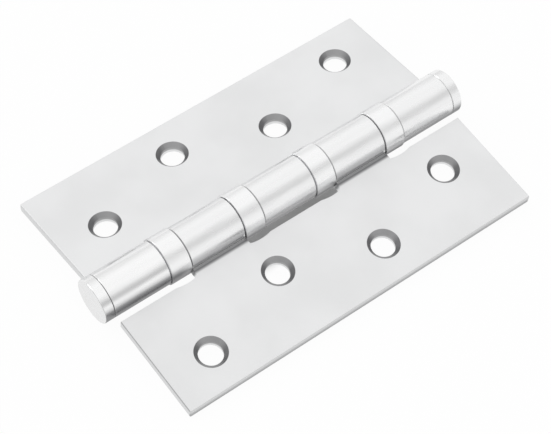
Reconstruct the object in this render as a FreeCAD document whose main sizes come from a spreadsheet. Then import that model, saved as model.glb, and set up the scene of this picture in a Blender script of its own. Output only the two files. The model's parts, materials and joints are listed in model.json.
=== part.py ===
"""Steel butt hinge with four ball bearings, open past flat and lying on its rings and leaf edges.

Millimetres. The pin lies along Y with the origin at its middle, +X points to the leaf with two
knuckles and +Z points to the side of the countersinks. Both leaves are punched from one sheet
thickness and curled round the pin. Between each pair of knuckles sits a thrust bearing: a cover
ring, two races, a retainer and its balls.
"""

import FreeCAD, Part

import math
import os

import Sketcher

Vector = FreeCAD.Vector
Z_AXIS = Vector(0, 0, 1)
FULL_TURN = 360

# Driving dimensions
SIZES = {
    "leaf_length": 100.0,
    "leaf_reach": 35.0,
    "sheet_thickness": 2.5,
    "knuckle_radius": 5.75,
    "axis_rise": 0.3,
    "neck_radius": 2.0,
    "front_leaf_gap": 2.0,
    "back_leaf_gap": 1.25,
    "seam_gap": 0.2,
    "end_knuckle_extra": 0.4,
    "bearing_zone": 5.9,
    "scallop_depth": 0.4,
    "knuckle_ease": 0.15,
    "edge_round": 0.3,
    "hole_pitch": 25.0,
    "near_row": 17.25,
    "far_row": 25.4,
    "screw_hole_diameter": 6.0,
    "countersink_diameter": 8.0,
    "countersink_angle": 90.0,
    "pin_clearance": 0.05,
    "pin_chamfer": 0.4,
    "cap_thickness": 2.7,
    "cap_round": 0.4,
    "spigot_length": 6.0,
    "pin_end_gap": 0.2,
    "ring_step": 0.3,
    "ring_wall": 0.5,
    "ring_gap": 0.15,
    "ring_round": 0.2,
    "race_clearance": 0.08,
    "race_bore_clearance": 0.1,
    "ball_diameter": 1.588,
    "ball_play": 0.02,
    "ball_count": 12,
    "groove_depth": 0.25,
    "cover_clearance": 0.15,
    "retainer_thickness": 0.9,
    "retainer_bore_clearance": 0.15,
    "retainer_lip": 0.4,
    "pocket_clearance": 0.05,
}

KNUCKLES = 5
RINGS = KNUCKLES - 1

# What follows from the driving dimensions, each formula written once
DERIVED = {
    "half_length": "Sizes.leaf_length / 2",
    "bore_radius": "Sizes.knuckle_radius - Sizes.sheet_thickness",
    "ring_radius": "Sizes.knuckle_radius + Sizes.ring_step",
    "pin_radius": "Derived.bore_radius - Sizes.pin_clearance",
    "plate_bottom": "Sizes.axis_rise + Sizes.sheet_thickness",
    "edge_reach": "Sizes.leaf_reach - Sizes.edge_round",
    "edge_depth": "Derived.plate_bottom - Sizes.edge_round",
    "neck_drop": "Derived.plate_bottom + Sizes.neck_radius",
    "neck_reach": "sqrt((Sizes.knuckle_radius + Sizes.neck_radius)^2 - Derived.neck_drop^2)",
    "front_inner_edge": "Sizes.knuckle_radius + Sizes.front_leaf_gap",
    "back_inner_edge": "Sizes.knuckle_radius + Sizes.back_leaf_gap",
    "root_reach": "Derived.front_inner_edge + Sizes.sheet_thickness / 2",
    "knuckle_length": (
        f"(Sizes.leaf_length - {RINGS} * Sizes.bearing_zone - 2 * Sizes.end_knuckle_extra)"
        f" / {KNUCKLES}"
    ),
    "first_seam": "Derived.knuckle_length / 2",
    "second_seam": "Derived.first_seam + Sizes.bearing_zone",
    "third_seam": "Derived.second_seam + Derived.knuckle_length",
    "fourth_seam": "Derived.third_seam + Sizes.bearing_zone",
    "inner_knuckle_middle": "(Derived.second_seam + Derived.third_seam) / 2",
    "end_knuckle": "Derived.half_length - Derived.fourth_seam",
    "end_knuckle_middle": "(Derived.fourth_seam + Derived.half_length) / 2",
    "near_bearing": "(Derived.first_seam + Derived.second_seam) / 2",
    "far_bearing": "(Derived.third_seam + Derived.fourth_seam) / 2",
    "scallop_radius": "(Sizes.bearing_zone^2 / 4 + Sizes.scallop_depth^2) / (2 * Sizes.scallop_depth)",
    "first_hole": "Sizes.hole_pitch / 2",
    "second_hole": "3 * Sizes.hole_pitch / 2",
    "bevel_reach": "Sizes.knuckle_radius + Sizes.knuckle_ease",
    "bevel_leg": "2 * Sizes.knuckle_ease",
    "pin_half_length": "Derived.half_length - Sizes.spigot_length - Sizes.pin_end_gap",
    "cover_bore": "Derived.ring_radius - Sizes.ring_wall",
    "cover_half_length": "Sizes.bearing_zone / 2 - Sizes.ring_gap",
    "ball_radius": "Sizes.ball_diameter / 2",
    "ball_circle": "Derived.cover_bore - Sizes.cover_clearance - Derived.ball_radius",
    "groove_radius": "Derived.ball_radius + Sizes.ball_play",
    "half_zone": "Sizes.bearing_zone / 2",
    "race_face": "Derived.ball_radius - Sizes.groove_depth",
    "race_bore": "Derived.pin_radius + Sizes.race_bore_clearance",
    "moving_race_radius": "Derived.cover_bore - Sizes.race_clearance",
    "retainer_bore": "Derived.pin_radius + Sizes.retainer_bore_clearance",
    "retainer_radius": "Derived.ball_circle + Sizes.retainer_lip",
    "pocket_radius": "Derived.ball_radius + Sizes.pocket_clearance",
}
# The rounded lower edge touches the surface that the bearing rings lie on
REST_DROOP = (
    "asin((Derived.ring_radius - Sizes.edge_round)"
    " / sqrt(Derived.edge_reach^2 + Derived.edge_depth^2))"
    " - atan(Derived.edge_depth / Derived.edge_reach)"
)

# The ends of each leaf's own knuckles on the +Y side, and whether the knuckle lies beyond the seam
INNER_ENDS = [("second_seam", True), ("third_seam", False)]
OUTER_ENDS = [("first_seam", False), ("fourth_seam", True)]

# Where each bearing sits: its place along the pin, which side of the middle, and its turn about Z
BEARINGS = [
    ("far_bearing", "-", 0),
    ("near_bearing", "-", 180),
    ("near_bearing", "", 0),
    ("far_bearing", "", 180),
]

# How far past level, towards the plate, the bevels reach to take in the end of the curl
SEAM_TURN = 2

doc = FreeCAD.newDocument("butt_hinge")

sheet = doc.addObject("Spreadsheet::Sheet", "Sizes")
for row, (alias, number) in enumerate(SIZES.items(), 1):
    sheet.set(f"A{row}", alias)
    sheet.set(f"B{row}", str(number))
    sheet.setAlias(f"B{row}", alias)
doc.recompute()

derived = doc.addObject("App::VarSet", "Derived")
for name, formula in DERIVED.items():
    derived.addProperty("App::PropertyFloat", name, "Derived")
    derived.setExpression(name, formula)
derived.addProperty("App::PropertyAngle", "rest_droop", "Derived")
derived.setExpression("rest_droop", REST_DROOP)
doc.recompute()


def size(name):
    """The present value of a driving or derived dimension."""
    return float(getattr(sheet, name) if name in SIZES else getattr(derived, name))


def cell(name):
    """The same dimension as an expression."""
    return f"Sizes.{name}" if name in SIZES else f"Derived.{name}"


# Sketch helpers

START, END, CENTRE = range(1, 4)
ORIGIN = (-START, START)

# Places closer than this are one place
NEAR = 0.001


def new_body(label):
    body = doc.addObject("PartDesign::Body", label)
    body.Label = label
    return body


def origin_feature(body, role):
    return next(part for part in body.Origin.OriginFeatures if part.Role == role)


def new_sketch(body, name, role):
    sketch = body.newObject("Sketcher::SketchObject", name)
    sketch.AttachmentSupport = (origin_feature(body, role), [""])
    sketch.MapMode = "FlatFace"
    return sketch


def line(sketch, start, end):
    return sketch.addGeometry(Part.LineSegment(Vector(*start, 0), Vector(*end, 0)), False)


def arc(sketch, centre, radius, start_angle, end_angle):
    circle = Part.Circle(Vector(*centre, 0), Z_AXIS, radius)
    return sketch.addGeometry(Part.ArcOfCircle(circle, start_angle, end_angle), False)


def join(sketch, *pairs):
    """Makes each pair of points, given as (element, end), one point."""
    for first, second in pairs:
        sketch.addConstraint(Sketcher.Constraint("Coincident", *first, *second))


def drive(sketch, name, formula, kind, *where):
    """Adds a constraint with a value and binds that value to a formula."""
    index = sketch.addConstraint(Sketcher.Constraint(kind, *where))
    sketch.renameConstraint(index, name)
    sketch.setExpression(f"Constraints.{name}", formula)


def place(sketch, name, point, x, y):
    """Holds a point at dimensions x and y from the origin. A minus sign puts it on the far side."""
    for kind, given in (("DistanceX", x), ("DistanceY", y)):
        key = given.lstrip("-")
        ends = (*point, *ORIGIN) if given.startswith("-") else (*ORIGIN, *point)
        drive(sketch, f"{name}_{kind}", cell(key), kind, *ends, size(key))


def at(x, y):
    """The point that place() would give for these two dimensions."""
    return tuple(
        -size(given[1:]) if given.startswith("-") else size(given) for given in (x, y)
    )


def outline(sketch, name, corners):
    """A closed outline of straight lines through corners given as pairs of dimensions."""
    points = [at(*corner) for corner in corners]
    lines = [line(sketch, points[i - 1], points[i]) for i in range(len(points))]
    for index, element in enumerate(lines):
        join(sketch, ((lines[index - 1], END), (element, START)))
        place(sketch, f"{name}_{index}", (element, END), *corners[index])
    return lines


def rims(feature, radius, y=None):
    """The names of a feature's round edges of one radius, at one place along the pin or at all."""
    return [
        f"Edge{index}"
        for index, edge in enumerate(feature.Shape.Edges, 1)
        if isinstance(edge.Curve, Part.Circle)
        and math.isclose(edge.Curve.Radius, size(radius), abs_tol=NEAR)
        and (y is None or math.isclose(edge.Curve.Center.y, y, abs_tol=NEAR))
    ]


def pad(body, name, sketch, length, middle=False):
    feature = body.newObject("PartDesign::Pad", name)
    feature.Profile = sketch
    feature.setExpression("Length", length)
    if middle:
        feature.SideType = "Symmetric"
    return feature


def revolve(body, name, sketch):
    """Turns a sketch in the XY plane round the Y axis."""
    feature = body.newObject("PartDesign::Revolution", name)
    feature.Profile = sketch
    feature.ReferenceAxis = (sketch, ["V_Axis"])
    feature.Angle = FULL_TURN
    return feature


# Leaves


def curl_section(body, name, middle):
    """The section of one knuckle: the sheet runs in from the plate, bends down through a neck,
    goes under the pin, round it and over it, and ends just above the plate's face."""
    sketch = new_sketch(body, name, "XZ_Plane")
    if middle:
        sketch.setExpression("AttachmentOffset.Base.z", f"-{cell(middle)}")
    outer, inner = size("knuckle_radius"), size("bore_radius")
    neck, thick = size("neck_radius"), size("sheet_thickness")
    top, bottom = -size("axis_rise"), -size("plate_bottom")
    reach, drop, root = size("neck_reach"), size("neck_drop"), size("root_reach")
    neck_angle = math.atan2(-drop, reach)
    end_angle = math.asin((top + size("seam_gap")) / outer)
    last_angle = neck_angle + math.radians(FULL_TURN)
    neck_start, neck_end = math.pi / 2, math.pi + neck_angle

    outside = arc(sketch, (0, 0), outer, end_angle, last_angle)
    under_neck = arc(sketch, (reach, -drop), neck, neck_start, neck_end)
    underside = line(sketch, (reach, bottom), (root, bottom))
    root_end = line(sketch, (root, bottom), (root, top))
    face = line(sketch, (root, top), (reach, top))
    over_neck = arc(sketch, (reach, -drop), neck + thick, neck_start, neck_end)
    bore = arc(sketch, (0, 0), inner, end_angle, last_angle)
    curl_end = line(
        sketch,
        (inner * math.cos(end_angle), inner * math.sin(end_angle)),
        (outer * math.cos(end_angle), outer * math.sin(end_angle)),
    )
    guide = sketch.addGeometry(Part.LineSegment(Vector(0, 0, 0), Vector(reach, -drop, 0)), True)

    join(
        sketch,
        ((outside, CENTRE), ORIGIN),
        ((bore, CENTRE), ORIGIN),
        ((guide, START), ORIGIN),
        ((under_neck, CENTRE), (guide, END)),
        ((over_neck, CENTRE), (guide, END)),
        ((outside, END), (under_neck, END)),
        ((under_neck, START), (underside, START)),
        ((underside, END), (root_end, START)),
        ((root_end, END), (face, START)),
        ((face, END), (over_neck, START)),
        ((over_neck, END), (bore, END)),
        ((bore, START), (curl_end, START)),
        ((curl_end, END), (outside, START)),
    )
    sketch.addConstraint(
        [
            Sketcher.Constraint("PointOnObject", outside, END, guide),
            Sketcher.Constraint("PointOnObject", over_neck, END, guide),
            Sketcher.Constraint("PointOnObject", *ORIGIN, curl_end),
            Sketcher.Constraint("Vertical", under_neck, START, under_neck, CENTRE),
            Sketcher.Constraint("Vertical", over_neck, START, over_neck, CENTRE),
            Sketcher.Constraint("Horizontal", underside),
            Sketcher.Constraint("Vertical", root_end),
            Sketcher.Constraint("Horizontal", face),
        ]
    )
    drive(sketch, "curl", cell("knuckle_radius"), "Radius", outside, outer)
    drive(sketch, "reach", cell("neck_reach"), "DistanceX", *ORIGIN, guide, END, reach)
    drive(sketch, "drop", cell("neck_drop"), "DistanceY", guide, END, *ORIGIN, drop)
    drive(sketch, "root", cell("root_reach"), "DistanceX", *ORIGIN, root_end, START, root)
    thickness = (root_end, START, root_end, END, thick)
    drive(sketch, "thickness", cell("sheet_thickness"), "DistanceY", *thickness)
    seam = (face, END, curl_end, END, size("seam_gap"))
    drive(sketch, "seam", cell("seam_gap"), "DistanceY", *seam)
    return sketch


def knuckle(body, name, length, middle=None):
    section = curl_section(body, f"{name}_section", middle)
    return pad(body, name, section, cell(length), middle=True)


def mirror_to_other_end(body, features):
    """Repeats features of the +Y half on the -Y half."""
    mirrored = body.newObject("PartDesign::Mirrored", f"{body.Name}_other_end")
    mirrored.Originals = features
    mirrored.MirrorPlane = (origin_feature(body, "XZ_Plane"), [""])
    body.Tip = mirrored


def plate(body, inner_edge):
    """The flat of the leaf, from the clearance beside the barrel to the outer edge."""
    sketch = new_sketch(body, f"{body.Name}_plate_outline", "XY_Plane")
    sketch.setExpression("AttachmentOffset.Base.z", f"-{cell('axis_rise')}")
    corners = [
        (inner_edge, "-half_length"),
        ("leaf_reach", "-half_length"),
        ("leaf_reach", "half_length"),
        (inner_edge, "half_length"),
    ]
    outline(sketch, "corner", corners)
    feature = pad(body, f"{body.Name}_plate", sketch, cell("sheet_thickness"))
    feature.Reversed = True
    return feature


def scallops(body, inner_edge):
    """Shallow arcs in the plate's inner edge, one opposite each bearing ring."""
    sketch = new_sketch(body, f"{body.Name}_scallop_outline", "XY_Plane")
    radius, depth = size("scallop_radius"), size("scallop_depth")
    edge = size(inner_edge)
    half_angle = math.asin(size("bearing_zone") / 2 / radius)
    for name, low, high, middle in (
        ("near", "first_seam", "second_seam", "near_bearing"),
        ("far", "third_seam", "fourth_seam", "far_bearing"),
    ):
        for side in ("", "-"):
            ends = (f"{side}{low}", f"{side}{high}")
            lowest, highest = sorted(ends, key=lambda end: at(inner_edge, end)[1])
            centre = (edge + depth - radius, at(inner_edge, f"{side}{middle}")[1])
            bow = arc(sketch, centre, radius, -half_angle, half_angle)
            chord = line(sketch, at(inner_edge, highest), at(inner_edge, lowest))
            join(sketch, ((bow, END), (chord, START)), ((chord, END), (bow, START)))
            label = name if side == "" else f"{name}_mirrored"
            place(sketch, f"{label}_low", (bow, START), inner_edge, lowest)
            place(sketch, f"{label}_high", (bow, END), inner_edge, highest)
            drive(sketch, label, cell("scallop_radius"), "Radius", bow, radius)
    cut = body.newObject("PartDesign::Pocket", f"{body.Name}_scallops")
    cut.Profile = sketch
    cut.Type = "ThroughAll"
    cut.SideType = "Symmetric"
    return cut


def eased_knuckle_ends(body, ends):
    """A small bevel round the outside of each knuckle end, cut by turning triangles round the pin
    from the end of the curl to the neck."""
    sketch = new_sketch(body, f"{body.Name}_bevel_profile", "XY_Plane")
    reach, leg = size("bevel_reach"), size("bevel_leg")
    for index, (where, towards_end) in enumerate(ends):
        y = at("bevel_reach", where)[1]
        upwards = towards_end != where.startswith("-")
        back = y + leg if upwards else y - leg
        corners = [(reach, y), (reach - leg, y), (reach, back)]
        side, foot, slope = (line(sketch, corners[i - 1], corners[i]) for i in range(3))
        join(
            sketch,
            ((side, END), (foot, START)),
            ((foot, END), (slope, START)),
            ((slope, END), (side, START)),
        )
        sketch.addConstraint(Sketcher.Constraint("Vertical", side))
        sketch.addConstraint(Sketcher.Constraint("Horizontal", foot))
        place(sketch, f"end_{index}", (side, END), "bevel_reach", where)
        width = (foot, END, foot, START, leg)
        drive(sketch, f"width_{index}", cell("bevel_leg"), "DistanceX", *width)
        rise = (side, END, side, START) if upwards else (side, START, side, END)
        drive(sketch, f"rise_{index}", cell("bevel_leg"), "DistanceY", *rise, leg)
    groove = body.newObject("PartDesign::Groove", f"{body.Name}_bevels")
    groove.Profile = sketch
    groove.ReferenceAxis = (sketch, ["V_Axis"])
    groove.Type = "TwoAngles"
    groove.Angle2 = SEAM_TURN
    groove.setExpression("Angle", "360 deg - atan(Derived.neck_drop / Derived.neck_reach)")
    groove.Reversed = True
    return groove


def rounded_outer_edges(body):
    """Rounds the edges of the plate that face away from the barrel."""
    base = body.Tip
    reach, half = size("leaf_reach"), size("half_length")
    names = []
    for index, edge in enumerate(base.Shape.Edges, 1):
        box = edge.BoundBox
        straight = isinstance(edge.Curve, Part.Line)
        on_outer_edge = box.XMin > reach - NEAR
        on_end = box.YLength < NEAR and abs(abs(box.YMin) - half) < NEAR
        flat_of_plate = box.XMax > reach - NEAR
        if straight and (on_outer_edge or (on_end and flat_of_plate)):
            names.append(f"Edge{index}")
    rounded = body.newObject("PartDesign::Fillet", f"{body.Name}_rounds")
    rounded.Base = (base, names)
    rounded.setExpression("Radius", cell("edge_round"))
    return rounded


def screw_holes(body):
    """Four countersunk holes in a zigzag."""
    sketch = new_sketch(body, f"{body.Name}_hole_centres", "XY_Plane")
    sketch.setExpression("AttachmentOffset.Base.z", f"-{cell('axis_rise')}")
    centres = [
        ("near_row", "second_hole"),
        ("far_row", "first_hole"),
        ("near_row", "-first_hole"),
        ("far_row", "-second_hole"),
    ]
    radius = size("screw_hole_diameter") / 2
    for index, centre in enumerate(centres):
        circle = Part.Circle(Vector(*at(*centre), 0), Z_AXIS, radius)
        element = sketch.addGeometry(circle, False)
        place(sketch, f"hole_{index}", (element, CENTRE), *centre)
        diameter = (element, size("screw_hole_diameter"))
        drive(sketch, f"size_{index}", cell("screw_hole_diameter"), "Diameter", *diameter)
    doc.recompute()
    hole = body.newObject("PartDesign::Hole", f"{body.Name}_screw_holes")
    hole.Profile = sketch
    doc.recompute()
    hole.ThreadType = "None"
    hole.DepthType = "ThroughAll"
    hole.HoleCutType = "Countersink"
    hole.HoleCutCustomValues = True
    hole.setExpression("Diameter", cell("screw_hole_diameter"))
    hole.setExpression("HoleCutDiameter", cell("countersink_diameter"))
    hole.setExpression("HoleCutCountersinkAngle", cell("countersink_angle"))
    return hole


def leaf(label, inner_edge, own_knuckles, own_ends, turn):
    """One leaf, built flat towards +X, then turned about Z and let down to the surface."""
    body = new_body(label)
    plate(body, inner_edge)
    scallops(body, inner_edge)
    for name, length, middle in own_knuckles:
        made = knuckle(body, f"{label}_{name}", length, middle)
        if middle:
            mirror_to_other_end(body, [made])
    doc.recompute()
    rounded_outer_edges(body)
    eased_knuckle_ends(body, own_ends)
    screw_holes(body)
    spread = f"rotation(vector(0; 0; 1); {turn})"
    droop = "rotation(vector(0; 1; 0); Derived.rest_droop)"
    body.setExpression("Placement", f"placement(vector(0; 0; 0); {spread} * {droop})")
    return body


# Pin and caps


def pin():
    body = new_body("hinge_pin")
    sketch = new_sketch(body, "pin_section", "XZ_Plane")
    circle = Part.Circle(Vector(0, 0, 0), Z_AXIS, size("pin_radius"))
    element = sketch.addGeometry(circle, False)
    join(sketch, ((element, CENTRE), ORIGIN))
    drive(sketch, "radius", cell("pin_radius"), "Radius", element, size("pin_radius"))
    rod = pad(body, "pin_rod", sketch, f"2 * {cell('pin_half_length')}", middle=True)
    doc.recompute()
    bevel = body.newObject("PartDesign::Chamfer", "pin_end_bevels")
    bevel.Base = (rod, rims(rod, "pin_radius"))
    bevel.setExpression("Size", cell("pin_chamfer"))
    return body


def cap(label, turn):
    """A flat button with a rounded rim, on a spigot that is pressed into the end knuckle."""
    body = new_body(label)
    spigot = new_sketch(body, f"{label}_spigot_section", "XZ_Plane")
    circle = Part.Circle(Vector(0, 0, 0), Z_AXIS, size("bore_radius"))
    element = spigot.addGeometry(circle, False)
    join(spigot, ((element, CENTRE), ORIGIN))
    drive(spigot, "radius", cell("bore_radius"), "Radius", element, size("bore_radius"))
    pad(body, f"{label}_spigot", spigot, cell("spigot_length"))
    disc = new_sketch(body, f"{label}_disc_section", "XZ_Plane")
    circle = Part.Circle(Vector(0, 0, 0), Z_AXIS, size("knuckle_radius"))
    element = disc.addGeometry(circle, False)
    join(disc, ((element, CENTRE), ORIGIN))
    drive(disc, "radius", cell("knuckle_radius"), "Radius", element, size("knuckle_radius"))
    button = pad(body, f"{label}_button", disc, cell("cap_thickness"))
    button.Reversed = True
    doc.recompute()

    outer_rim = rims(button, "knuckle_radius", size("cap_thickness"))
    front = body.newObject("PartDesign::Fillet", f"{label}_rim")
    front.Base = (button, outer_rim)
    front.setExpression("Radius", cell("cap_round"))
    doc.recompute()
    inner_rim = rims(front, "knuckle_radius", 0)
    back = body.newObject("PartDesign::Chamfer", f"{label}_seat_bevel")
    back.Base = (front, inner_rim)
    back.setExpression("Size", cell("knuckle_ease"))
    body.setExpression(
        "Placement",
        f"placement(rotation(vector(0; 0; 1); {turn}) * vector(0; Derived.half_length; 0);"
        f" rotation(vector(0; 0; 1); {turn}))",
    )
    return body


# Bearings


def cover(label):
    """The drawn outer ring, pressed on the fixed race and running clear of the moving one."""
    body = new_body(label)
    sketch = new_sketch(body, f"{label}_section", "XY_Plane")
    corners = [
        ("cover_bore", "-cover_half_length"),
        ("ring_radius", "-cover_half_length"),
        ("ring_radius", "cover_half_length"),
        ("cover_bore", "cover_half_length"),
    ]
    outline(sketch, "corner", corners)
    ring = revolve(body, f"{label}_ring", sketch)
    doc.recompute()
    rounded = body.newObject("PartDesign::Fillet", f"{label}_rims")
    rounded.Base = (ring, rims(ring, "ring_radius"))
    rounded.setExpression("Radius", cell("ring_round"))
    return body


def race(label, outer, side):
    """A hardened washer against a knuckle, with a groove that the balls run in."""
    body = new_body(label)
    sketch = new_sketch(body, f"{label}_section", "XY_Plane")
    back, face = f"{side}half_zone", f"{side}race_face"
    outline(sketch, "corner", [("race_bore", face), (outer, face), (outer, back), ("race_bore", back)])
    revolve(body, f"{label}_washer", sketch)
    doc.recompute()
    track = new_sketch(body, f"{label}_track_section", "XY_Plane")
    circle = Part.Circle(Vector(size("ball_circle"), 0, 0), Z_AXIS, size("groove_radius"))
    element = track.addGeometry(circle, False)
    track.addConstraint(Sketcher.Constraint("Horizontal", *ORIGIN, element, CENTRE))
    where = (*ORIGIN, element, CENTRE, size("ball_circle"))
    drive(track, "ball_circle", cell("ball_circle"), "DistanceX", *where)
    drive(track, "radius", cell("groove_radius"), "Radius", element, size("groove_radius"))
    groove = body.newObject("PartDesign::Groove", f"{label}_track")
    groove.Profile = track
    groove.ReferenceAxis = (track, ["V_Axis"])
    groove.Angle = FULL_TURN
    return body


def polar_copies(body, feature):
    """Repeats a feature round the pin, once for each ball."""
    pattern = body.newObject("PartDesign::PolarPattern", f"{body.Name}_round_the_pin")
    pattern.Originals = [feature]
    pattern.Axis = (origin_feature(body, "Y_Axis"), [""])
    pattern.Angle = FULL_TURN
    pattern.setExpression("Occurrences", cell("ball_count"))
    body.Tip = pattern


def retainer(label):
    """The ring that spaces the balls, with a pocket for each, open outwards."""
    body = new_body(label)
    sketch = new_sketch(body, f"{label}_section", "XZ_Plane")
    for name in ("retainer_radius", "retainer_bore"):
        circle = Part.Circle(Vector(0, 0, 0), Z_AXIS, size(name))
        element = sketch.addGeometry(circle, False)
        join(sketch, ((element, CENTRE), ORIGIN))
        drive(sketch, name, cell(name), "Radius", element, size(name))
    pad(body, f"{label}_ring", sketch, cell("retainer_thickness"), middle=True)
    pocket = new_sketch(body, f"{label}_pocket_outline", "XZ_Plane")
    circle = Part.Circle(Vector(size("ball_circle"), 0, 0), Z_AXIS, size("pocket_radius"))
    element = pocket.addGeometry(circle, False)
    pocket.addConstraint(Sketcher.Constraint("Horizontal", *ORIGIN, element, CENTRE))
    where = (*ORIGIN, element, CENTRE, size("ball_circle"))
    drive(pocket, "ball_circle", cell("ball_circle"), "DistanceX", *where)
    drive(pocket, "radius", cell("pocket_radius"), "Radius", element, size("pocket_radius"))
    cut = body.newObject("PartDesign::Pocket", f"{label}_pocket")
    cut.Profile = pocket
    cut.Type = "ThroughAll"
    cut.SideType = "Symmetric"
    doc.recompute()
    polar_copies(body, cut)
    return body


def balls(label):
    body = new_body(label)
    body.AllowCompound = True
    ball = body.newObject("PartDesign::AdditiveSphere", f"{label}_ball")
    ball.setExpression("Radius", cell("ball_radius"))
    ball.setExpression("Placement.Base.x", cell("ball_circle"))
    doc.recompute()
    polar_copies(body, ball)
    return body


def bearing(name, middle, side, turn):
    """One thrust bearing at its place along the pin, with its fixed race towards the back leaf."""
    pieces = [
        cover(f"{name}_cover"),
        race(f"{name}_fixed_race", "cover_bore", "-"),
        race(f"{name}_moving_race", "moving_race_radius", ""),
        retainer(f"{name}_retainer"),
        balls(f"{name}_balls"),
    ]
    where = f"vector(0; {side}{cell(middle)}; 0)"
    for body in pieces:
        body.setExpression("Placement", f"placement({where}; rotation(vector(0; 0; 1); {turn}))")
    return pieces


sub_parts = [
    leaf(
        "leaf_two_knuckle",
        "front_inner_edge",
        [("knuckle", "knuckle_length", "inner_knuckle_middle")],
        [(f"{side}{seam}", outwards) for side in ("", "-") for seam, outwards in INNER_ENDS],
        0,
    ),
    leaf(
        "leaf_three_knuckle",
        "back_inner_edge",
        [("middle_knuckle", "knuckle_length", None), ("end_knuckle", "end_knuckle", "end_knuckle_middle")],
        [(f"{side}{seam}", outwards) for side in ("", "-") for seam, outwards in OUTER_ENDS],
        180,
    ),
    pin(),
    cap("near_cap", 180),
    cap("far_cap", 0),
]
for number, (middle, side, turn) in enumerate(BEARINGS, 1):
    sub_parts += bearing(f"bearing_{number}", middle, side, turn)
doc.recompute()

# Checks and output

for item in doc.Objects:
    if "Invalid" in item.State or "Error" in item.State:
        raise RuntimeError(f"{item.Label} failed: {item.State}")
for body in sub_parts:
    if body.Shape.isNull() or not body.Shape.isValid() or not body.Shape.Solids:
        raise RuntimeError(f"{body.Label} has no valid solid")

os.makedirs("parts", exist_ok=True)
for body in sub_parts:
    body.Shape.exportStep(f"parts/{body.Label}.step")
    box = body.Shape.BoundBox
    spans = " ".join(f"{low:.2f}..{high:.2f}" for low, high in (
        (box.XMin, box.XMax), (box.YMin, box.YMax), (box.ZMin, box.ZMax)
    ))
    print(f"{body.Label}: {len(body.Shape.Solids)} solids, {body.Shape.Volume:.1f} mm3, {spans}")
print(f"each leaf lies {size('rest_droop'):.2f} degrees below level")
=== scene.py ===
# %% [markdown]
# A steel butt hinge lies open on a white table, a little past flat, with its countersinks up. Two
# leaves are punched from sheet and curled round one pin, a ball bearing sits between each pair of
# knuckles, and a cap closes each end. All that shows wears satin chrome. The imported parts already
# have the right shapes, so this lesson keeps every one and is about finish and light: chrome has
# no colour of its own to show, only what it mirrors.

import json
import math

import bpy
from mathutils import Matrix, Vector


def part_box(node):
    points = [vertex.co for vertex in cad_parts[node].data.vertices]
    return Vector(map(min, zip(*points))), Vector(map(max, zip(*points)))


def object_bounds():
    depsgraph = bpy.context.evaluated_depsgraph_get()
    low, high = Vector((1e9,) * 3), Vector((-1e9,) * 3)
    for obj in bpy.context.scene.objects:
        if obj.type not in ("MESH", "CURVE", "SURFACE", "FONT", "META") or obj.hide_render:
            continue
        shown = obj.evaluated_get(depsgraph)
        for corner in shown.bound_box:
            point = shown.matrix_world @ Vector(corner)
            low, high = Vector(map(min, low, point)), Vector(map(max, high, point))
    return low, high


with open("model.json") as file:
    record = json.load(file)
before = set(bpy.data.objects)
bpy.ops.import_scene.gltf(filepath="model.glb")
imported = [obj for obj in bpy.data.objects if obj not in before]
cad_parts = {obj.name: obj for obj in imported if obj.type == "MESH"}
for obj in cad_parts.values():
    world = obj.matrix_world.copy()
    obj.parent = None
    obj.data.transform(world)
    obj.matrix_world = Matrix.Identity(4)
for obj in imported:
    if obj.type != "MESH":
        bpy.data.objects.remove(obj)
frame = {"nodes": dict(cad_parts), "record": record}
nodes = frame["nodes"]
cad_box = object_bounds()
print("parts in the frame:", len(nodes))

# %% [markdown]
# The photo is plain and bright, and its colours should come out as they are written. The Standard
# view does that. The default view would turn every white into a light grey.

# %% The view
bpy.context.scene.view_settings.view_transform = "Standard"
print("view:", bpy.context.scene.view_settings.view_transform)

# %% [markdown]
# Every finish here is a small net of shader nodes. Wiring one node takes several lines, so a tiny
# helper does it: a value handed over as a socket becomes a wire, anything else is set in place.
# A plain function for each node kind would work too, but one class keeps the calls short.

# %% A helper that wires shader nodes
class Tree:
    """Adds shader nodes to a tree and wires them."""

    def __init__(self, tree):
        self.tree = tree
        tree.nodes.clear()

    def feed(self, socket, value):
        if isinstance(value, bpy.types.NodeSocket):
            self.tree.links.new(value, socket)
        else:
            socket.default_value = value

    def feed_all(self, sockets, values):
        for socket, value in zip(sockets, values):
            self.feed(socket, value)

    def add(self, kind, settings=None, **sockets):
        made = self.tree.nodes.new("ShaderNode" + kind)
        for key, value in (settings or {}).items():
            setattr(made, key, value)
        for key, value in sockets.items():
            self.feed(made.inputs[key.replace("_", " ")], value)
        return made

    def math(self, operation, *values):
        made = self.add("Math", {"operation": operation})
        self.feed_all(made.inputs, values)
        return made.outputs[0]

    def ease(self, value, low, high, first=0.0, last=1.0):
        """Runs smoothly from first to last while value goes from low to high."""
        made = self.add("MapRange", {"interpolation_type": "SMOOTHSTEP"}, Value=value)
        self.feed_all(made.inputs[1:5], (low, high, first, last))
        return made.outputs[0]

    def band(self, value, rise, fall):
        """1 between the rise and the fall, each given by its two ends, and 0 outside them."""
        return self.math("MULTIPLY", self.ease(value, *rise), self.ease(value, *fall, 1.0, 0.0))

    def blend(self, share, first, second):
        """Mixes two colours: all of the first at share 0, all of the second at 1."""
        made = self.add("Mix", {"data_type": "RGBA"})
        self.feed_all((made.inputs[0], made.inputs[6], made.inputs[7]), (share, first, second))
        return made.outputs[2]

    def mix_surfaces(self, share, first, second):
        """Mixes two surfaces in the same way."""
        made = self.add("MixShader")
        self.feed_all(made.inputs, (share, first, second))
        return made.outputs[0]


def new_material(name):
    material = bpy.data.materials.new(name)
    material.use_nodes = True
    return material, Tree(material.node_tree)


print("node helper ready")

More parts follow.
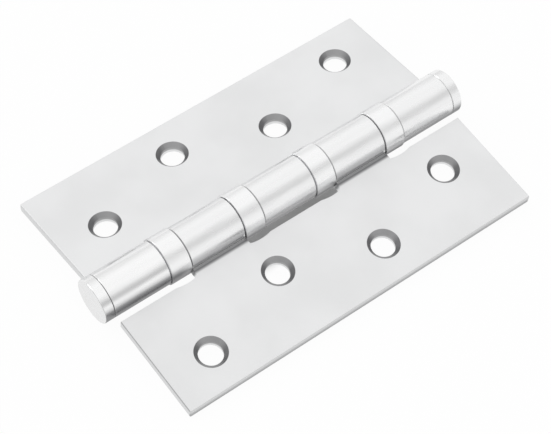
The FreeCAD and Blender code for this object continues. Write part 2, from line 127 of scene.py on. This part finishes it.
# %% [markdown]
# The table is one large sheet of white card under the lowest point of the hinge. A lit card alone
# goes grey where the hinge shades it, and the photo's card is white right into the screw holes. So
# most of the white is shown by the card itself, to the eye and to the mirroring metal, and the
# rest is lit and carries the shadow. Right under the middle of the barrel the photo does have
# a dark gap, so there the card has no white of its own to the eye, its true shadow shows, and its
# colour is a darker grey, as painted shadow. From below the card is clear, so that the back of
# the hinge can be looked at too.

# %% Where the card lies in deep shadow
CARD_WHITE = (0.94, 0.94, 0.94, 1)
# painted shadow: the card's darker grey under the middle of the barrel
PAINTED_SHADOW_GREY = (0.60, 0.60, 0.60, 1)
OWN_WHITE = 0.95
DEEP_SHADOW_REACH = 0.010
DEEP_SHADOW_LENGTH = 0.016
DEEP_SHADOW_FADE = 1.5


def deep_shadow(tree):
    """1 under the middle of the barrel, 0 elsewhere."""
    place = tree.add("SeparateXYZ", Vector=tree.add("TexCoord").outputs["Object"]).outputs
    shares = []
    for axis, size in (("X", DEEP_SHADOW_REACH), ("Y", DEEP_SHADOW_LENGTH)):
        away = tree.math("ABSOLUTE", place[axis])
        shares.append(tree.ease(away, size, size * DEEP_SHADOW_FADE, 1.0, 0.0))
    return tree.math("MULTIPLY", *shares)


print("deep shadow:", DEEP_SHADOW_REACH * 1000, "by", DEEP_SHADOW_LENGTH * 1000, "mm each way")

# %% White card
def white_card():
    material, tree = new_material("white_card")
    path = tree.add("LightPath").outputs
    deep = deep_shadow(tree)
    open_card = tree.math("SUBTRACT", 1.0, deep)
    direct = tree.math("MULTIPLY", path["Is Camera Ray"], open_card)
    mirrored = tree.math("MAXIMUM", path["Is Glossy Ray"], path["Is Transmission Ray"])
    shown = tree.math("MULTIPLY", tree.math("MAXIMUM", direct, mirrored), OWN_WHITE)
    # painted shadow: the card's colour turns darker grey under the middle of the barrel
    lit = tree.add("BsdfDiffuse", Color=tree.blend(deep, CARD_WHITE, PAINTED_SHADOW_GREY))
    white = tree.add("Emission", Color=(1, 1, 1, 1), Strength=1.0)
    card = tree.mix_surfaces(shown, lit.outputs[0], white.outputs[0])
    from_below = tree.add("NewGeometry").outputs["Backfacing"]
    clear = tree.add("BsdfTransparent")
    one_sided = tree.mix_surfaces(from_below, card, clear.outputs[0])
    tree.add("OutputMaterial", Surface=one_sided)
    return material


print("white card ready")

# %% The table
TABLE_SIZE = 8.0

bpy.ops.object.select_all(action="DESELECT")
bpy.ops.mesh.primitive_plane_add(size=TABLE_SIZE, location=(0, 0, cad_box[0].z))
table = bpy.context.object
table.name = "table"
table.data.materials.append(white_card())
print("table top at", round(table.location.z * 1000, 2), "mm")

# %% [markdown]
# The barrel mirrors the room round its whole side, so the room has to be drawn. Panels on stands
# would do it, but they would also show in the leaves. A world that is a function of direction is
# easier to shape: measured round the pin from straight up, the studio tent is white overhead, and
# a grey card on the right gives the barrel its dark streak. Low down at the near end the tent has
# half its light, so that what faces that way keeps some depth.

# %% The levels of the tent, by angle round the pin in degrees
TENT = [
    (-180, 0.60),
    (-95, 0.70),
    (-72, 0.88),
    (-52, 1.00),
    (-34, 1.00),
    (-16, 0.95),
    (-2, 1.00),
    (8, 1.00),
    (24, 0.84),
    (36, 0.70),
    (46, 0.70),
    (58, 0.86),
    (72, 1.00),
    (90, 0.94),
    (108, 0.70),
    (180, 0.50),
]


def tent_ramp(tree, round_pin):
    """The tent's grey levels as one smooth colour ramp, from -180 to 180 degrees."""
    ramp = tree.add("ValToRGB")
    ramp.color_ramp.interpolation = "B_SPLINE"
    stops = ramp.color_ramp.elements
    stops.remove(stops[-1])
    for angle, level in TENT:
        place = (angle + 180) / 360
        stop = stops[0] if place == 0 else stops.new(place)
        stop.color = (level, level, level, 1)
    tree.feed(ramp.inputs[0], round_pin)
    return ramp.outputs[0]


print("the tent has", len(TENT), "levels round the pin")

# %% The tent
NEAR_END_LIGHT = 0.5
LOW_DOWN = (0.1, 0.45)
TOWARDS_NEAR_END = (-0.15, -0.6)


def studio_tent():
    world = bpy.data.worlds.new("studio_tent")
    world.use_nodes = True
    tree = Tree(world.node_tree)
    way = tree.add("SeparateXYZ", Vector=tree.add("TexCoord").outputs["Generated"]).outputs
    turn = tree.math("DEGREES", tree.math("ARCTAN2", way["X"], way["Z"]))
    round_pin = tree.math("DIVIDE", tree.math("ADD", turn, 180.0), 360.0)
    low = tree.ease(way["Z"], *LOW_DOWN, 1.0, 0.0)
    near = tree.ease(way["Y"], *TOWARDS_NEAR_END)
    dim = tree.math("MULTIPLY", near, low)
    light = tree.math("MULTIPLY_ADD", dim, NEAR_END_LIGHT - 1.0, 1.0)
    tent = tree.add("Background", Color=tent_ramp(tree, round_pin), Strength=light)
    tree.add("OutputWorld", Surface=tent.outputs[0])
    return world


bpy.context.scene.world = studio_tent()
print("world:", bpy.context.scene.world.name)

# %% [markdown]
# The tent lights the hinge almost evenly. One wide, weak lamp on the left adds a direction: it
# leaves the gap in front of the barrel in shadow, as in the photo. Metal mirrors a lamp, and from
# here neither leaf mirrors it towards the camera, so it can't burn a spot into them.

# %% The lamp
LAMP_PLACE = Vector((-1.08, -0.65, 0.49))
LAMP_WIDTH = 0.5
LAMP_POWER = 1.5

lamp_data = bpy.data.lights.new("left_lamp", "AREA")
lamp_data.shape = "DISK"
lamp_data.size = LAMP_WIDTH
lamp_data.energy = LAMP_POWER
lamp = bpy.data.objects.new("left_lamp", lamp_data)
bpy.context.scene.collection.objects.link(lamp)
lamp.location = LAMP_PLACE
lamp.rotation_euler = (-LAMP_PLACE).to_track_quat("-Z", "Y").to_euler()
print("lamp", round(LAMP_PLACE.length, 2), "m away")

# %% [markdown]
# The camera was found by matching the photo: the corners of both leaves and the rims of the eight
# screw holes were measured in the picture, and place, turn and focal length were fitted to them.
# It looks from the near right, about 54 degrees down, with a long lens.

# %% The camera
CAMERA_PLACE = (0.201274, -0.164916, 0.360970)
CAMERA_TURN = (34.97716, -1.57870, 52.92637)
CAMERA_LENS = 122.675
NEAREST_SEEN = 0.01

camera_data = bpy.data.cameras.new("camera")
camera_data.lens = CAMERA_LENS
camera_data.clip_start = NEAREST_SEEN
camera = bpy.data.objects.new("camera", camera_data)
bpy.context.scene.collection.objects.link(camera)
camera.location = CAMERA_PLACE
camera.rotation_euler = [math.radians(angle) for angle in CAMERA_TURN]
bpy.context.scene.camera = camera
print("camera", round(camera.location.length, 3), "m from the hinge")

# %% [markdown]
# The finishes follow the shape: a dark line at each seam, painted shade in the crease at the neck,
# bands on the punched edge. So they need to know where those are. Most places are read off the
# imported parts, the rest are the sheet's own measures. Finishes work in millimetres. Each mask
# fades in over a short way, given by two steps from the place where it belongs, so that no edge is
# jagged.

# %% Where the seams and faces are
def near_and_far(name):
    """The two ends of a part along the pin, in millimetres."""
    return [corner[1] * 1000 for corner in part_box(name)]


COVERS = [name for name in nodes if name.endswith("_cover")]
COVER_FACES = sorted({round(abs(end), 2) for cover in COVERS for end in near_and_far(cover)})
CAP_FACE = round(-near_and_far("near_cap")[0], 2)
LEAF_END = round(near_and_far("leaf_two_knuckle")[1], 2)
NEAR_KNUCKLE = COVER_FACES[-1]
print("cover faces at", COVER_FACES, "leaf end at", LEAF_END, "cap face at", CAP_FACE)

# %% The leaf's measures
PLATE_TOP = -0.3
LEAF_REACH = 35.0
KNUCKLE_RADIUS = 5.75
DROOP = math.radians(5.3925)
INNER_ROW, OUTER_ROW = 17.25, 25.4
HOLES = [(INNER_ROW, 37.5), (OUTER_ROW, 12.5), (INNER_ROW, -12.5), (OUTER_ROW, -37.5)]
SINK_RADIUS = 4.0


def past(place, steps):
    """The two ends of a fade that lies these steps past a place."""
    return [place + step for step in steps]


print("holes in each leaf:", len(HOLES))

# %% [markdown]
# Every finish needs two things: where a point lies on its part, and some unevenness that no ruler
# would give. Object coordinates and a noise texture supply them, and both stay on the part when
# it moves. An image texture could do the same, but it would need an unwrapped surface.

# %% Places and noise in millimetres
NOISE_RANGE = (0.3, 0.7)


def millimetres(tree):
    """The object's coordinates in millimetres, whole and as x, y and z."""
    place = tree.add("TexCoord").outputs["Object"]
    scaled = tree.add("VectorMath", {"operation": "SCALE"}, Vector=place, Scale=1000.0)
    return scaled.outputs[0], tree.add("SeparateXYZ", Vector=scaled.outputs[0]).outputs


def noise(tree, place, scale, detail=2.0, stretch=(1, 1, 1)):
    """Soft noise, finer with a larger scale."""
    mapped = tree.add("Mapping", Vector=place, Scale=stretch).outputs[0]
    return tree.add("TexNoise", Vector=mapped, Scale=scale, Detail=detail).outputs["Fac"]


print("noise mostly lies between", *NOISE_RANGE)

# %% [markdown]
# Every finish ends in the same way: as metal, with a bump for what is too fine to model. At
# a grazing angle metal turns white, which would draw a bright line round each dark patch of the
# barrel. So about a third of the rim's tint is taken from the colour of the patch.

# %% Metal with a bump
WHITE = (1, 1, 1, 1)
RIM_SHARE = 0.35
MILLIMETRE = 0.001


def bumpy_metal(tree, colour, rough, height):
    """Ends a material as metal, darker at its rim where it is dark, with a height in mm."""
    bump = tree.add("Bump", Distance=MILLIMETRE, Height=height).outputs[0]
    metal = tree.add("BsdfPrincipled", Metallic=1.0, Base_Color=colour, Roughness=rough)
    tree.feed(metal.inputs["Normal"], bump)
    tree.feed(metal.inputs["Specular Tint"], tree.blend(RIM_SHARE, WHITE, colour))
    tree.add("OutputMaterial", Surface=metal.outputs[0])


print("share of the rim's tint that follows the colour:", RIM_SHARE)

# %% [markdown]
# Chrome follows the steel under it, and the barrel's steel was rolled and brushed by hand. Soft
# patches long in the direction of the pin differ in roughness, and a slow wave bends the
# reflections. Noise stretched along the pin gives both. The near knuckle isn't quite round, and
# a steady lean in its bump turns its reflections in the same way. Modelled waves would be far too
# small to be worth their faces.

# %% The surface of the barrel
ALONG_PIN = (1, 0.3, 1)
SCRATCHES_ALONG_PIN = (1, 0.15, 1)
PATCH_SCALE, WAVE_SCALE, SCRATCH_SCALE = 0.4, 0.3, 3.0
SHINE = (0.22, 0.30)
WAVE_HEIGHT = 0.13
SCRATCH_HEIGHT = 0.004
OFF_ROUND = 0.2
OFF_ROUND_WAY = (0.82, -0.57)
OFF_ROUND_FADE = (-0.08, 0.02)


def barrel_surface(tree, place, axes, dull=0.0):
    """Roughness and height of the rolled and brushed steel."""
    patches = noise(tree, place, PATCH_SCALE, 3.0, ALONG_PIN)
    rough = tree.ease(patches, *NOISE_RANGE, SHINE[0] + dull, SHINE[1] + dull)
    wave = tree.math("MULTIPLY", noise(tree, place, WAVE_SCALE, 2.0, ALONG_PIN), WAVE_HEIGHT)
    scratches = noise(tree, place, SCRATCH_SCALE, 3.0, SCRATCHES_ALONG_PIN)
    scratch = tree.math("MULTIPLY", scratches, SCRATCH_HEIGHT)
    down = tree.math("MULTIPLY", axes["Z"], OFF_ROUND_WAY[1])
    lean = tree.math("MULTIPLY_ADD", axes["X"], OFF_ROUND_WAY[0], down)
    near_end = tree.ease(axes["Y"], *past(-NEAR_KNUCKLE, OFF_ROUND_FADE), OFF_ROUND, 0.0)
    height = tree.math("ADD", wave, scratch)
    height = tree.math("ADD", height, tree.math("MULTIPLY", near_end, lean))
    return rough, height


print("barrel surface ready, its waves up to", WAVE_HEIGHT, "mm high")

# %% [markdown]
# At each seam a thin line of dirt and shadow parts the pieces. A modelled groove would be right
# for a wide one, but these are hairlines, so each is a mask by distance from the seam, which stays
# one even width all round. On a ring's near side the real gap is in sight and dark by itself, so
# only a faint line is added. Its far side hides the gap from the photo's place, and there the line
# has to do more. Both get fainter towards the far end, as in the photo.

# %% The lines at the seams
SEAM_FADE = 0.06
STEP_WIDTH, STEP_DEPTH = 0.04, 0.20
LINE_WIDTH, LINE_DEPTH = 0.14, 0.85
FAINTER = 0.4
NEAR_CAP_SEAM = (-LEAF_END, 0.08, 0.7)
FAR_CAP_SEAM = (LEAF_END, 0.14, 0.08)


def cover_seams(name):
    """Place, width and depth of the lines on the two sides of a ring."""
    near, far = near_and_far(name)
    share = 1.0 - FAINTER * (near + NEAR_KNUCKLE) / (2 * NEAR_KNUCKLE)
    return [(near, STEP_WIDTH, STEP_DEPTH * share), (far, LINE_WIDTH, LINE_DEPTH * share)]


SEAMS = [NEAR_CAP_SEAM, FAR_CAP_SEAM] + [seam for name in COVERS for seam in cover_seams(name)]


def seam_line(tree, y):
    """The depth of a seam along its line, 0 elsewhere."""
    line = 0.0
    for place, width, depth in SEAMS:
        gap = tree.math("ABSOLUTE", tree.math("SUBTRACT", y, place))
        line = tree.math("MAXIMUM", tree.ease(gap, width, width + SEAM_FADE, depth, 0.0), line)
    return line


print("seams along the barrel:", len(SEAMS))

# %% [markdown]
# Seen from above the barrel is bright, and its colour is painted darker towards its underside, most
# at the near end: painted shade, which a white table would otherwise light up again. Only at its
# very foot does the colour come back, as a painted reflection of the table. The near knuckle has
# a painted highlight on top and one more painted dark streak along its right, and the ends of the
# caps are a little duller than their rims.

# %% The painted dark streak on the near knuckle
# painted reflection: a dark streak along the near knuckle
PAINTED_STREAK = (0.74, 0.741, 0.743, 1)
STREAK_RISE, STREAK_FALL = (3.0, 3.8), (3.9, 4.7)
STREAK_END = (-0.1, 0.0)
RIGHT_SIDE = (0.0, 0.5)


def painted_near_streak(tree, axes):
    """1 in a painted dark streak along the near knuckle, on its right, 0 elsewhere."""
    near = tree.ease(axes["Y"], *past(-NEAR_KNUCKLE, STREAK_END), 1.0, 0.0)
    right = tree.ease(axes["X"], *RIGHT_SIDE)
    streak = tree.band(axes["Z"], STREAK_RISE, STREAK_FALL)
    return tree.math("MULTIPLY", tree.math("MULTIPLY", near, right), streak)


print("streak from", STREAK_RISE[0], "to", STREAK_FALL[1], "mm above the pin's middle")

# %% The colour of the barrel
BARREL = (0.91, 0.912, 0.914, 1)
# painted highlight: the near knuckle's top is lighter
NEAR_PAINTED_HIGHLIGHT = (0.95, 0.951, 0.952, 1)
CAP_END = (0.84, 0.841, 0.842, 1)
# painted shade: the colours of the underside, darker than the top
UNDERSIDE_SHADE = (0.27, 0.27, 0.275, 1)
NEAR_UNDERSIDE_SHADE = (0.29, 0.29, 0.295, 1)
SEAM = (0.33, 0.33, 0.335, 1)
SHADE = (-0.9, 2.2)
NEAR_SHADE = (0.6, 3.1)
# painted reflection of the table at the barrel's very foot
FOOT = (-5.0, -3.2)
PAINTED_REFLECTION_SHARE = 0.7
NEAR_END_FADE = (1.5, 6.5)
CAP_RIM = (-0.25, -0.1)


def barrel_colour(tree, axes, top=BARREL, underside=UNDERSIDE_SHADE, lift=0.0):
    """Bright on top with painted shade below, a painted highlight and dark streak near the end, a
    painted reflection at the foot, and dark seams. The lift in mm brings the painted shade lower.
    """
    near_end = tree.ease(axes["Y"], *past(-NEAR_KNUCKLE, NEAR_END_FADE), 1.0, 0.0)
    # painted highlight on the top of the near knuckle
    bright = tree.blend(near_end, top, NEAR_PAINTED_HIGHLIGHT)
    # painted shade: the colour darkens towards the underside
    under = tree.ease(tree.math("ADD", axes["Z"], lift), *SHADE, 1.0, 0.0)
    colour = tree.blend(under, bright, underside)
    # painted shade: darker still below at the near end
    below = tree.ease(axes["Z"], *NEAR_SHADE, 1.0, 0.0)
    colour = tree.blend(tree.math("MULTIPLY", near_end, below), colour, NEAR_UNDERSIDE_SHADE)
    # painted reflection: the dark streak on the near knuckle
    colour = tree.blend(painted_near_streak(tree, axes), colour, PAINTED_STREAK)
    # painted reflection: the foot turns bright again, as if mirroring the table
    colour = tree.blend(tree.ease(axes["Z"], *FOOT, PAINTED_REFLECTION_SHARE, 0.0), colour, bright)
    colour = tree.blend(seam_line(tree, axes["Y"]), colour, SEAM)
    end = tree.ease(tree.math("ABSOLUTE", axes["Y"]), *past(CAP_FACE, CAP_RIM))
    return tree.blend(end, colour, CAP_END)


def barrel_chrome(name, top=BARREL, underside=UNDERSIDE_SHADE, lift=0.0, dull=0.0):
    material, tree = new_material(name)
    place, axes = millimetres(tree)
    rough, height = barrel_surface(tree, place, axes, dull)
    bumpy_metal(tree, barrel_colour(tree, axes, top, underside, lift), rough, height)
    return material


print("barrel colour falls from", BARREL[0], "to", UNDERSIDE_SHADE[0])

# %% [markdown]
# Both leaves droop a little from the pin, so the heights of their faces change with the reach. The
# measures below undo the droop, and they count the reach from the pin on either side. Then one
# finish serves both leaves in any pose, and every mask is a plain distance.

# %% Measures on the levelled leaf
FAR_AWAY = 100.0


def levelled(tree, axes):
    """Reach from the pin, way along it and depth below the plate's top, for either leaf."""
    across = tree.math("ABSOLUTE", axes["X"])
    outward = tree.math("MULTIPLY", across, math.cos(DROOP))
    reach = tree.math("MULTIPLY_ADD", axes["Z"], -math.sin(DROOP), outward)
    rise = tree.math("MULTIPLY", across, math.sin(DROOP))
    height = tree.math("MULTIPLY_ADD", axes["Z"], math.cos(DROOP), rise)
    depth = tree.math("SUBTRACT", PLATE_TOP, height)
    along = tree.math("MULTIPLY", axes["Y"], tree.math("SIGN", axes["X"]))
    return reach, along, depth


def length(tree, first, second):
    squares = [tree.math("MULTIPLY", side, side) for side in (first, second)]
    return tree.math("SQRT", tree.math("ADD", *squares))


def hole_distance(tree, reach, along):
    """The distance from the middle of the nearest screw hole."""
    nearest = FAR_AWAY
    for hole_reach, hole_along in HOLES:
        outward = tree.math("SUBTRACT", reach, hole_reach)
        sideways = tree.math("SUBTRACT", along, hole_along)
        nearest = tree.math("MINIMUM", length(tree, outward, sideways), nearest)
    return nearest


print("the leaves droop", round(math.degrees(DROOP), 2), "degrees")

# %% [markdown]
# A punch first shears the sheet, which leaves a smooth light band, and then tears it off, which
# leaves a darker one. The outer edge shows this from top to bottom. The ends show mostly the light
# band, and at one end their upper rim is painted darker, as painted shade. A bump alone can't tell
# such bands apart, so they differ in colour, by the depth below the plate's top.

# %% The punched edge
# painted shade on the upper rim of the leaf ends, at one end
EDGE_RIM_SHADE = (0.50, 0.503, 0.506, 1)
EDGE_SHEARED = (0.74, 0.743, 0.746, 1)
EDGE_SOFT = (0.70, 0.703, 0.706, 1)
EDGE_TORN = (0.42, 0.423, 0.426, 1)
RIM_DEPTHS = (0.25, 0.5)
TEAR_DEPTHS = (0.1, 2.0)
CUT_FACE = (-0.35, -0.3)
BELOW_TOP = (0.01, 0.05)
PAST_MIDDLE = (-1.0, 1.0)


def punched_edge(tree, colour, reach, along, depth):
    """Paints the outer edge, darker downwards, and the two ends, with painted shade along their
    upper rim at one end.
    """
    outer = tree.ease(reach, *past(LEAF_REACH, CUT_FACE))
    ends = tree.ease(tree.math("ABSOLUTE", along), *past(LEAF_END, CUT_FACE))
    below_top = tree.ease(depth, *BELOW_TOP)
    # painted shade: the ends' upper rim is darker at one end only
    rim = tree.blend(tree.ease(along, *PAST_MIDDLE), EDGE_RIM_SHADE, EDGE_SOFT)
    on_ends = tree.blend(tree.ease(depth, *RIM_DEPTHS), rim, EDGE_SHEARED)
    on_outer = tree.blend(tree.ease(depth, *TEAR_DEPTHS), EDGE_SOFT, EDGE_TORN)
    colour = tree.blend(tree.math("MULTIPLY", ends, below_top), colour, on_ends)
    return tree.blend(tree.math("MULTIPLY", outer, below_top), colour, on_outer)


print("the outer edge darkens down to", TEAR_DEPTHS[1], "mm below the top")

# %% [markdown]
# The sinks for the screws are cut by a turning tool, and each sink wall is rougher and duller than
# the flat. Its colour is painted shade, with painted light on two opposite sides, by the way a wall
# faces, which the normal in object coordinates tells. The foot of the bore stays bright and
# unpainted, because the white table shows there.

# %% The screw sinks
# painted shade and painted light on the sink wall, by the way each part of it faces
SINK_SHADE = (0.21, 0.21, 0.215, 1)
SINK_PAINTED_LIGHT = (0.43, 0.43, 0.435, 1)
PAINTED_LIGHT_SIDE = (0.8, -0.6, 0.0)
WALL_TURN = (0.2, 0.68)
BORE_FOOT = (1.5, 1.9)


def screw_sinks(tree, colour, sunk, depth):
    """Paints shade on each sink wall, with painted light on two sides, and leaves the foot of the
    bore bright.
    """
    normal = tree.add("TexCoord").outputs["Normal"]
    facing = tree.add("VectorMath", {"operation": "DOT_PRODUCT"})
    tree.feed_all(facing.inputs, (normal, PAINTED_LIGHT_SIDE))
    # painted light on two opposite sides of each sink wall, painted shade between
    facing_light = tree.ease(tree.math("ABSOLUTE", facing.outputs["Value"]), *WALL_TURN)
    walls = tree.blend(facing_light, SINK_SHADE, SINK_PAINTED_LIGHT)
    above_foot = tree.ease(depth, *BORE_FOOT, 1.0, 0.0)
    return tree.blend(tree.math("MULTIPLY", sunk, above_foot), colour, walls)


print("sink walls between", SINK_SHADE[0], "and", SINK_PAINTED_LIGHT[0])

# %% [markdown]
# The two knuckles of the front leaf end in a crease against their own plate, where little light
# gets in, and above it their side has a band of painted shade. Light alone would find the crease
# too, but only as a hairline, so it is painted as wide as the photo shows it.

# %% Where the front leaf leaves the barrel
# painted shade for the crease and for the band on the knuckle's side above it
CREASE_SHADE = (0.22, 0.22, 0.225, 1)
SIDE_SHADE = (0.64, 0.64, 0.645, 1)
SIDE_RISE, SIDE_FALL = (0.2, 0.9), (1.0, 3.0)
CREASE_EDGE, EDGE_STRENGTH = (0.0, 0.12), 0.8
CREASE_RISE, CREASE_FALL = (0.2, 0.7), (0.8, 1.75)
BESIDE_BARREL = (5.0, 5.5)
FACE_FADE = 0.1


def front_knuckles(tree, axes):
    """1 along the front leaf's knuckles, 0 elsewhere."""
    first, last = COVER_FACES[0], COVER_FACES[2]
    along = tree.math("ABSOLUTE", axes["Y"])
    return tree.band(along, (first - FACE_FADE, first), (last, last + FACE_FADE))


def painted_side_shade(tree, axes):
    """1 in a band of painted shade on the side of the knuckle, above the crease, 0 elsewhere."""
    right = tree.ease(axes["X"], *RIGHT_SIDE)
    return tree.math("MULTIPLY", right, tree.band(axes["Z"], SIDE_RISE, SIDE_FALL))


def crease_line(tree, axes, radius):
    """1 in the crease at the foot of a knuckle, where shade is painted, 0 elsewhere."""
    inner = tree.ease(radius, *past(KNUCKLE_RADIUS, CREASE_EDGE), 0.0, EDGE_STRENGTH)
    rise = tree.ease(radius, *past(KNUCKLE_RADIUS, CREASE_RISE))
    inner = tree.math("MAXIMUM", inner, rise)
    outer = tree.ease(radius, *past(KNUCKLE_RADIUS, CREASE_FALL), 1.0, 0.0)
    beside = tree.ease(axes["X"], *BESIDE_BARREL)
    return tree.math("MULTIPLY", beside, tree.math("MULTIPLY", inner, outer))


print("the front knuckles lie between", COVER_FACES[0], "and", COVER_FACES[2], "mm")

# %% [markdown]
# The flat of each leaf is an even satin with faint clouds, and its knuckles have the barrel's
# finish with its painted shade, which on the front leaf is painted lighter below, standing in for
# the light that the plate beside them throws back. The leaf is one part, so one material blends
# the two finishes by the distance from the pin. Two materials would need the mesh cut in two, and
# would meet in a hard line.

# %% The colour of a leaf
PLATE = (0.845, 0.848, 0.852, 1)
CLOUD = (0.80, 0.803, 0.806, 1)
# painted shade below the front knuckles, lighter as painted light thrown back by the plate
FRONT_UNDERSIDE_SHADE = (0.66, 0.661, 0.663, 1)
LEAF_LIFT = 0.4
FRONT_LIFT = 2.6


def knuckle_colour(tree, axes, front):
    """The barrel's colour, with the front knuckles' lighter painted shade below and painted shade
    on their side.
    """
    # painted shade below the knuckles, lighter on the front leaf
    underside = tree.blend(front, UNDERSIDE_SHADE, FRONT_UNDERSIDE_SHADE)
    lift = tree.math("MULTIPLY_ADD", front, FRONT_LIFT, LEAF_LIFT)
    barrel = barrel_colour(tree, axes, underside=underside, lift=lift)
    # painted shade in a band on the front knuckles' side
    return tree.blend(tree.math("MULTIPLY", front, painted_side_shade(tree, axes)), barrel, SIDE_SHADE)


def leaf_colour(tree, axes, cloud, sunk, rolled, radius, measures):
    """Plate, punched edge, sinks, knuckles and crease, laid over each other in that order."""
    reach, along, depth = measures
    colour = tree.blend(cloud, PLATE, CLOUD)
    colour = punched_edge(tree, colour, reach, along, depth)
    colour = screw_sinks(tree, colour, sunk, depth)
    front = front_knuckles(tree, axes)
    colour = tree.blend(rolled, colour, knuckle_colour(tree, axes, front))
    crease = tree.math("MULTIPLY", front, crease_line(tree, axes, radius))
    # painted shade in the crease
    return tree.blend(crease, colour, CREASE_SHADE)


print("plate", PLATE[0], "with clouds of", CLOUD[0])

# %% Satin chrome for the leaves
SATIN = (0.36, 0.40)
SINK_DULL = 0.15
SINK_FADE = (-0.02, 0.06)
KNUCKLE_FADE = (0.03, 0.2)
CLOUD_SCALE = 0.05
GRAIN_SCALE, GRAIN_HEIGHT = 8.0, 0.002


def leaf_chrome():
    material, tree = new_material("leaf_chrome")
    place, axes = millimetres(tree)
    measures = levelled(tree, axes)
    hole = hole_distance(tree, *measures[:2])
    sunk = tree.ease(hole, *past(SINK_RADIUS, SINK_FADE), 1.0, 0.0)
    radius = length(tree, axes["X"], axes["Z"])
    rolled = tree.ease(radius, *past(KNUCKLE_RADIUS, KNUCKLE_FADE), 1.0, 0.0)
    cloud = tree.ease(noise(tree, place, CLOUD_SCALE, 3.0), *NOISE_RANGE)
    colour = leaf_colour(tree, axes, cloud, sunk, rolled, radius, measures)

    barrel_rough, barrel_height = barrel_surface(tree, place, axes)
    flat_rough = tree.ease(cloud, 0.0, 1.0, *SATIN)
    flat_rough = tree.math("MULTIPLY_ADD", sunk, SINK_DULL, flat_rough)
    rough = tree.ease(rolled, 0.0, 1.0, flat_rough, barrel_rough)
    grain = tree.math("MULTIPLY", noise(tree, place, GRAIN_SCALE), GRAIN_HEIGHT)
    height = tree.math("MULTIPLY_ADD", barrel_height, rolled, grain)
    bumpy_metal(tree, colour, rough, height)
    return material


print("satin roughness between", *SATIN)

# %% [markdown]
# The pin, the races, the balls and their cages stay bare: ground steel, hardened steel, polished
# steel and brass. Only a glimpse of them can be had through the gaps, but each gets its own metal
# with soft patches and a fine grain, so that it also looks right on its own.

# %% The bare metals inside
TARNISH_SCALE = 1.2
TARNISHED = 0.8
TARNISH_DULL = 0.1
GROUND_SCALE, GROUND_HEIGHT = 6.0, 0.01


def bare_metal(name, colour, roughness):
    material, tree = new_material(name)
    place = millimetres(tree)[0]
    tarnish = tree.ease(noise(tree, place, TARNISH_SCALE, 3.0), *NOISE_RANGE)
    duller = [part * TARNISHED for part in colour]
    tinted = tree.blend(tarnish, (*colour, 1), (*duller, 1))
    rough = tree.ease(tarnish, 0.0, 1.0, roughness, roughness + TARNISH_DULL)
    grain = tree.math("MULTIPLY", noise(tree, place, GROUND_SCALE), GROUND_HEIGHT)
    bumpy_metal(tree, tinted, rough, grain)
    return material


print("tarnish keeps", TARNISHED, "of a metal's brightness")

# %% [markdown]
# The rings of the bearings stand a little proud of the knuckles. Their colour is painted lighter on
# top and darker below, as painted light and shade, and they are slightly duller, so they are the
# barrel's chrome with other numbers. The rest is one table: the record names a slot for each part,
# and the slot names its finish.

# %% Each part gets its finish
COVER = (0.95, 0.952, 0.954, 1)
# painted shade below the rings
COVER_UNDERSIDE_SHADE = (0.19, 0.19, 0.195, 1)
COVER_LIFT = 0.7
COVER_DULL = 0.03

FINISHES = {
    "leaf_chrome": leaf_chrome(),
    "cap_chrome": barrel_chrome("cap_chrome"),
    "cover_chrome": barrel_chrome("cover_chrome", COVER, COVER_UNDERSIDE_SHADE, COVER_LIFT, COVER_DULL),
    "pin_steel": bare_metal("pin_steel", (0.55, 0.55, 0.56), 0.26),
    "race_steel": bare_metal("race_steel", (0.45, 0.45, 0.47), 0.21),
    "ball_steel": bare_metal("ball_steel", (0.70, 0.70, 0.71), 0.06),
    "retainer_brass": bare_metal("retainer_brass", (0.72, 0.52, 0.22), 0.31),
}
slots = {entry["node"]: entry["material_slot"] for entry in frame["record"]["subparts"]}
for name, part in nodes.items():
    part.material_slots[0].material = FINISHES[slots[name]]
print("finishes:", sorted(FINISHES))
